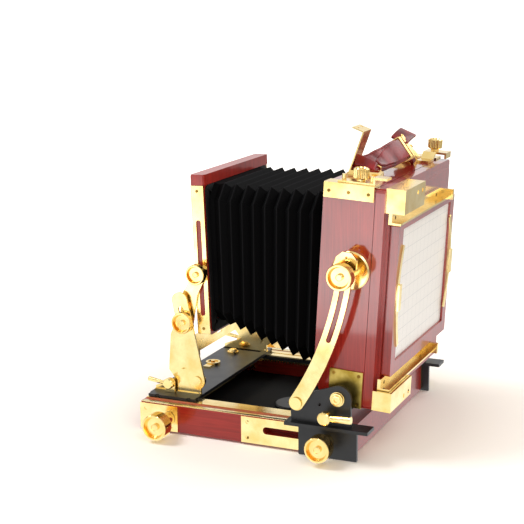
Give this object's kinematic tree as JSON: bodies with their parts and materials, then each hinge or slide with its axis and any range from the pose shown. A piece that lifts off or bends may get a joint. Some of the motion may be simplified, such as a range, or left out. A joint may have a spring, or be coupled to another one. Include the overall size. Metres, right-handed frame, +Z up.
{
  "type": "folding field camera",
  "caption": "Wooden folding camera on a flat bed with a pleated bellows between a lens standard and a sheet-film back, brass arms, knobs and a leather handle.",
  "frame": {"origin": "middle of the tripod bush, in the plane that the camera stands on", "axes": "+Z up, the lens looks along -Y, +X is the operator's left when standing behind the ground glass"},
  "size_m": [0.224, 0.2091, 0.2354],
  "materials": {
    "red_wood": "clear gloss lacquer over red stain",
    "gold_brass": "polished gold plate",
    "plain_brass": "satin, darker than the rest",
    "black_metal": "black anodised",
    "black_board": "matt black",
    "bellows_cloth": "black, slightly shiny folds",
    "red_leather": "glossy dark red",
    "ground_glass": "ground, white"
  },
  "bodies": {
    "bed": {"bed_frame": "red_wood", "bed_floor": "black_board", "tripod_plate": "black_metal", "bed_side_plates": "gold_brass", "bed_rails": "gold_brass"},
    "track": {"track_frame": "black_metal", "track_strips": "gold_brass", "focus_racks": "gold_brass"},
    "pinion": {"pinion_shaft": "gold_brass", "focus_knob_left": "gold_brass", "focus_knob_right": "gold_brass"},
    "front_base": {"base_plate": "black_metal", "base_feet": "gold_brass", "clamp_strips": "black_metal", "base_button": "gold_brass"},
    "base_tab": {"base_tab": "gold_brass"},
    "front_lever_left": {"front_lever_left": "gold_brass"},
    "front_lever_right": {"front_lever_right": "gold_brass"},
    "uprights": {"upright_left": "gold_brass", "upright_right": "gold_brass", "upright_web": "gold_brass"},
    "braces": {"brace_left": "gold_brass", "brace_right": "gold_brass"},
    "tilt_knob_left": {"tilt_knob_left": "gold_brass"},
    "tilt_knob_right": {"tilt_knob_right": "gold_brass"},
    "rise_knob_left": {"rise_knob_left": "gold_brass"},
    "rise_knob_right": {"rise_knob_right": "gold_brass"},
    "guides": {"frame_guides": "gold_brass"},
    "front_frame": {"front_frame": "red_wood", "frame_side_plates": "gold_brass", "lens_board": "black_board"},
    "board_latch": {"board_latch": "gold_brass"},
    "rear_carriage": {"side_bracket_left": "black_metal", "side_bracket_right": "black_metal"},
    "rear_lock_knob_left": {"rear_lock_knob_left": "gold_brass"},
    "rear_lock_knob_right": {"rear_lock_knob_right": "gold_brass"},
    "rear_lever_left": {"rear_lever_left": "gold_brass"},
    "rear_lever_right": {"rear_lever_right": "gold_brass"},
    "rear_box": {"rear_frame": "red_wood", "box_corner_plates": "plain_brass", "arm_bosses": "gold_brass", "box_top_straps": "gold_brass", "handle": "red_leather", "handle_fittings": "gold_brass", "bellows": "bellows_cloth"},
    "top_latch": {"top_latch": "gold_brass"},
    "top_knob_left": {"top_knob_left": "gold_brass"},
    "top_knob_right": {"top_knob_right": "gold_brass"},
    "arms": {"arm_left": "gold_brass", "arm_right": "gold_brass"},
    "arm_studs": {"arm_studs": "gold_brass"},
    "arm_knob_left": {"arm_knob_left": "gold_brass"},
    "arm_knob_right": {"arm_knob_right": "gold_brass"},
    "back": {"back_frame": "red_wood", "lock_blocks": "gold_brass"},
    "top_slide": {"top_slide": "gold_brass"},
    "bottom_slide": {"bottom_slide": "gold_brass"},
    "glass": {"glass_frame": "red_wood", "ground_glass": "ground_glass", "bow_springs": "gold_brass"}
  },
  "joints": [
    {"name": "focus", "type": "slide", "parent": "bed", "child": "track", "axis": [0, -1, 0], "range_m": [0, 0.09], "deforming": ["bellows"]},
    {"name": "focus_turn", "type": "hinge", "parent": "bed", "child": "pinion", "pos_m": [0, -0.067, 0.0123], "axis": [1, 0, 0], "range_deg": [0, 1080]},
    {"name": "rear_slide", "type": "slide", "parent": "bed", "child": "rear_carriage", "axis": [0, -1, 0], "range_m": [0, 0.035], "deforming": ["bellows"]},
    {"name": "rear_fold", "type": "hinge", "parent": "rear_carriage", "child": "rear_box", "pos_m": [0, 0.07175, 0.04667], "axis": [-1, 0, 0], "range_deg": [-78, 0], "deforming": ["bellows"]},
    {"name": "arm_swing", "type": "hinge", "parent": "rear_carriage", "child": "arms", "pos_m": [0, 0.0406, 0.0404], "axis": [-1, 0, 0], "range_deg": [-87.5, 0]},
    {"name": "stud_run", "type": "hinge", "parent": "arms", "child": "arm_studs", "pos_m": [0, -0.15681, 0.16973], "axis": [-1, 0, 0], "range_deg": [0, 9.8]},
    {"name": "base_slide", "type": "slide", "parent": "track", "child": "front_base", "axis": [0, 1, 0], "range_m": [0, 0.1125], "deforming": ["bellows"]},
    {"name": "upright_fold", "type": "hinge", "parent": "front_base", "child": "uprights", "pos_m": [0, -0.0615, 0.0384], "axis": [-1, 0, 0], "range_deg": [-88, 0], "deforming": ["bellows"]},
    {"name": "brace_fold", "type": "hinge", "parent": "front_base", "child": "braces", "pos_m": [0, -0.053, 0.0372], "axis": [-1, 0, 0], "range_deg": [-76.5, 0]},
    {"name": "front_tilt", "type": "hinge", "parent": "uprights", "child": "guides", "pos_m": [0, -0.051, 0.122], "axis": [1, 0, 0], "range_deg": [-2, 15], "deforming": ["bellows"]},
    {"name": "front_rise", "type": "slide", "parent": "guides", "child": "front_frame", "axis": [0, -0.0366, 0.9993], "range_m": [-0.034, 0.028], "deforming": ["bellows"]},
    {"name": "board_latch_lift", "type": "slide", "parent": "front_frame", "child": "board_latch", "axis": [0, -0.0366, 0.9993], "range_m": [0, 0.005]},
    {"name": "base_tab_turn", "type": "hinge", "parent": "front_base", "child": "base_tab", "pos_m": [-0.015, -0.0785, 0.0256], "axis": [0, 0, 1], "range_deg": [-40, 40]},
    {"name": "front_lever_left_turn", "type": "hinge", "parent": "front_base", "child": "front_lever_left", "pos_m": [0.069, -0.076, 0.0335], "axis": [-1, 0, 0], "range_deg": [0, 70]},
    {"name": "tilt_knob_left_turn", "type": "hinge", "parent": "uprights", "child": "tilt_knob_left", "pos_m": [0.069, -0.0633, 0.0832], "axis": [1, 0, 0], "continuous": true},
    {"name": "rise_knob_left_turn", "type": "hinge", "parent": "uprights", "child": "rise_knob_left", "pos_m": [0.069, -0.051, 0.122], "axis": [1, 0, 0], "continuous": true},
    {"name": "rear_lock_knob_left_turn", "type": "hinge", "parent": "rear_carriage", "child": "rear_lock_knob_left", "pos_m": [0.1, 0.0632, 0.0132], "axis": [1, 0, 0], "continuous": true},
    {"name": "rear_lever_left_turn", "type": "hinge", "parent": "rear_carriage", "child": "rear_lever_left", "pos_m": [0.098, 0.06525, 0.03427], "axis": [1, 0, 0], "range_deg": [0, 70]},
    {"name": "arm_knob_left_turn", "type": "hinge", "parent": "arm_studs", "child": "arm_knob_left", "pos_m": [0.1, 0.07716, 0.13881], "axis": [1, 0, 0], "continuous": true},
    {"name": "front_lever_right_turn", "type": "hinge", "parent": "front_base", "child": "front_lever_right", "pos_m": [-0.069, -0.076, 0.0335], "axis": [-1, 0, 0], "range_deg": [0, 70]},
    {"name": "tilt_knob_right_turn", "type": "hinge", "parent": "uprights", "child": "tilt_knob_right", "pos_m": [-0.069, -0.0633, 0.0832], "axis": [1, 0, 0], "continuous": true},
    {"name": "rise_knob_right_turn", "type": "hinge", "parent": "uprights", "child": "rise_knob_right", "pos_m": [-0.069, -0.051, 0.122], "axis": [1, 0, 0], "continuous": true},
    {"name": "rear_lock_knob_right_turn", "type": "hinge", "parent": "rear_carriage", "child": "rear_lock_knob_right", "pos_m": [-0.1, 0.0632, 0.0132], "axis": [1, 0, 0], "continuous": true},
    {"name": "rear_lever_right_turn", "type": "hinge", "parent": "rear_carriage", "child": "rear_lever_right", "pos_m": [-0.098, 0.06525, 0.03427], "axis": [1, 0, 0], "range_deg": [0, 70]},
    {"name": "arm_knob_right_turn", "type": "hinge", "parent": "arm_studs", "child": "arm_knob_right", "pos_m": [-0.1, 0.07716, 0.13881], "axis": [1, 0, 0], "continuous": true},
    {"name": "top_knob_left_turn", "type": "hinge", "parent": "rear_box", "child": "top_knob_left", "pos_m": [0.074, 0.08193, 0.20635], "axis": [0, 0.0543, 0.9985], "continuous": true},
    {"name": "top_knob_right_turn", "type": "hinge", "parent": "rear_box", "child": "top_knob_right", "pos_m": [-0.0725, 0.09141, 0.20584], "axis": [0, 0.0543, 0.9985], "continuous": true},
    {"name": "top_latch_swing", "type": "hinge", "parent": "rear_box", "child": "top_latch", "pos_m": [0.035, 0.06092, 0.20128], "axis": [1, 0, 0], "range_deg": [0, 90]},
    {"name": "back_lift", "type": "slide", "parent": "rear_box", "child": "back", "axis": [0, 0.9985, -0.0543], "range_m": [0, 0.03]},
    {"name": "top_slide_shift", "type": "slide", "parent": "back", "child": "top_slide", "axis": [-1, 0, 0], "range_m": [0, 0.012]},
    {"name": "bottom_slide_shift", "type": "slide", "parent": "back", "child": "bottom_slide", "axis": [-1, 0, 0], "range_m": [0, 0.012]},
    {"name": "glass_pull", "type": "slide", "parent": "back", "child": "glass", "axis": [0, 0.9985, -0.0543], "range_m": [0, 0.014], "stiffness_N_per_m": 250}
  ],
  "couplings": [
    {"joint": "focus_turn", "follows": "focus", "rad_per_m": 208.33},
    {"joint": "arm_swing", "follows": "rear_fold", "ratio": 1.1194},
    {"joint": "stud_run", "follows": "rear_fold", "ratio": -0.125},
    {"joint": "base_slide", "follows": "rear_fold", "m_per_rad": -0.082271},
    {"joint": "upright_fold", "follows": "rear_fold", "ratio": 1.1269},
    {"joint": "brace_fold", "follows": "rear_fold", "ratio": 0.9777}
  ]
}
